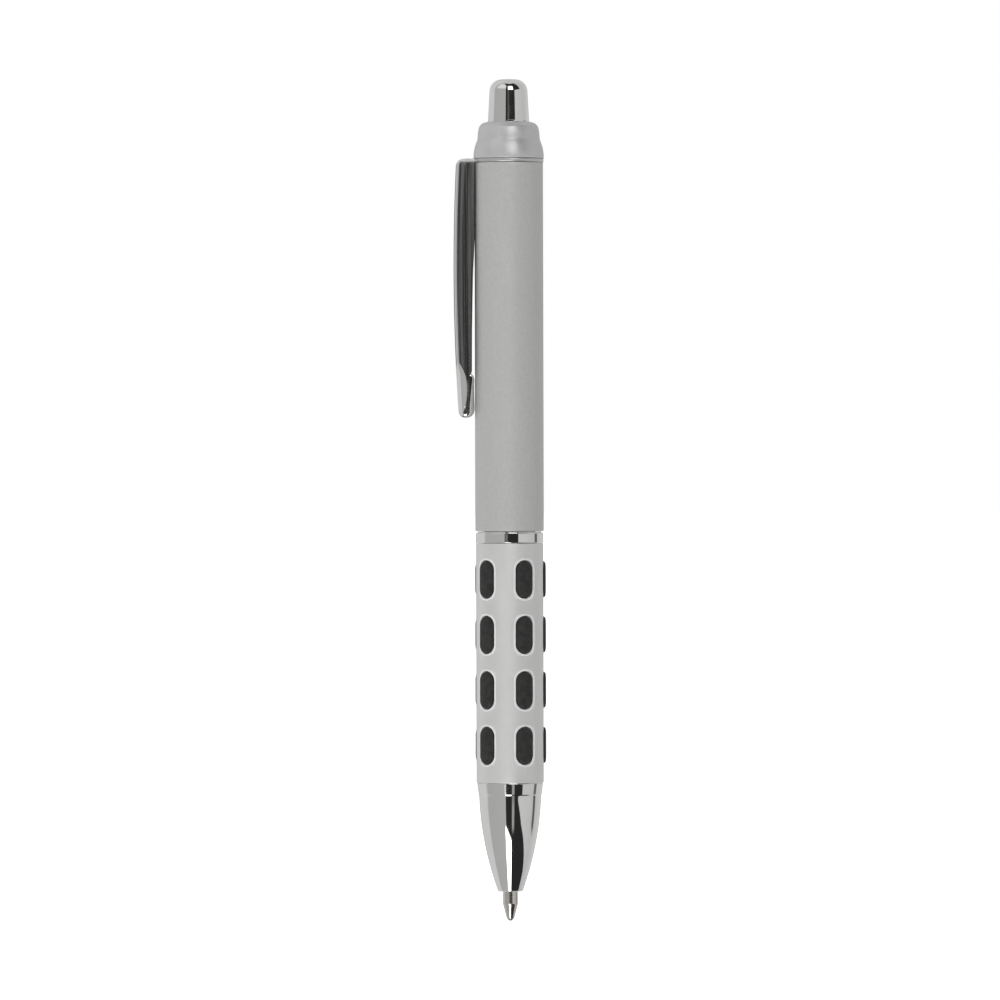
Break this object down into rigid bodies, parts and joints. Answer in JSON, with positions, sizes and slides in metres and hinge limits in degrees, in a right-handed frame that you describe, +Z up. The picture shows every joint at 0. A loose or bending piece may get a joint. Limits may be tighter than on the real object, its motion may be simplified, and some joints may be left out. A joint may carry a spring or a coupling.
{
  "type": "retractable ballpoint pen",
  "caption": "Click ballpoint pen with a windowed rubber grip, chrome nose cone, spring clip and push button; the refill slides, and the halves unscrew.",
  "frame": {"origin": "the writing ball's lowest point, on the pen's axis, with the point out", "axes": "+Z runs up the pen's axis from the writing point to the push button; the clip is at -X; +Y completes the right-handed frame"},
  "size_m": [0.0152, 0.0119, 0.14],
  "materials": {
    "chrome": "polished plating",
    "grip_metal": "fine satin",
    "barrel_lacquer": "matt silver lacquer",
    "collar_plastic": "pearly silver, satin",
    "grip_rubber": "matt black",
    "core_plastic": "moulded, dark",
    "cam_plastic": "moulded acetal, natural white",
    "spring_steel": "drawn wire",
    "refill_steel": "drawn tube",
    "point_metal": "turned nickel silver",
    "ball_metal": "ground tungsten carbide",
    "brass": "turned",
    "ink": "liquid",
    "grease": "clear grease",
    "plug_plastic": "moulded, white"
  },
  "bodies": {
    "lower_half": {"nose_cone": "chrome", "grip_shell": "grip_metal", "grip_liner": "grip_rubber", "lower_core": "core_plastic", "return_spring": "spring_steel"},
    "refill": {"tip_socket": "point_metal", "tip_holder": "brass", "refill_tube": "refill_steel", "ink_column": "ink", "ink_follower": "grease", "refill_plug": "plug_plastic"},
    "ball": {"writing_ball": "ball_metal"},
    "trim_ring": {"center_ring": "chrome"},
    "upper_half": {"upper_barrel": "barrel_lacquer", "upper_thread_insert": "brass", "cam_guide": "cam_plastic", "top_collar": "collar_plastic", "clip_ring": "chrome"},
    "clip": {"clip_blade": "chrome"},
    "button": {"thrust_cam": "cam_plastic", "push_button": "chrome"},
    "rotor": {"rotor_cam": "cam_plastic"}
  },
  "joints": [
    {"name": "barrel_turn", "type": "hinge", "parent": "lower_half", "child": "trim_ring", "pos_m": [0, 0, 0.0638], "axis": [0, 0, 1], "range_deg": [0, 2160]},
    {"name": "barrel_lift", "type": "slide", "parent": "trim_ring", "child": "upper_half", "axis": [0, 0, 1], "range_m": [0, 0.006]},
    {"name": "button_slide", "type": "slide", "parent": "upper_half", "child": "button", "axis": [0, 0, 1], "range_m": [-0.0015, 0.0055]},
    {"name": "rotor_turn", "type": "hinge", "parent": "button", "child": "rotor", "pos_m": [0, 0, 0.101], "axis": [0, 0, 1], "continuous": true},
    {"name": "refill_slide", "type": "slide", "parent": "lower_half", "child": "refill", "axis": [0, 0, 1], "range_m": [-0.0015, 0.0055], "deforming": ["return_spring"]},
    {"name": "ball_roll", "type": "hinge", "parent": "refill", "child": "ball", "pos_m": [0, 0, 0.0005], "axis": [1, 0, 0], "continuous": true},
    {"name": "clip_flex", "type": "hinge", "parent": "upper_half", "child": "clip", "pos_m": [-0.00734, 0, 0.12645], "axis": [0, 1, 0], "range_deg": [0, 4], "stiffness_Nm_per_rad": 3}
  ],
  "couplings": [
    {"joint": "barrel_turn", "follows": "barrel_lift", "rad_per_m": 6283.2},
    {"joint": "refill_slide", "follows": "button_slide", "ratio": 1}
  ]
}
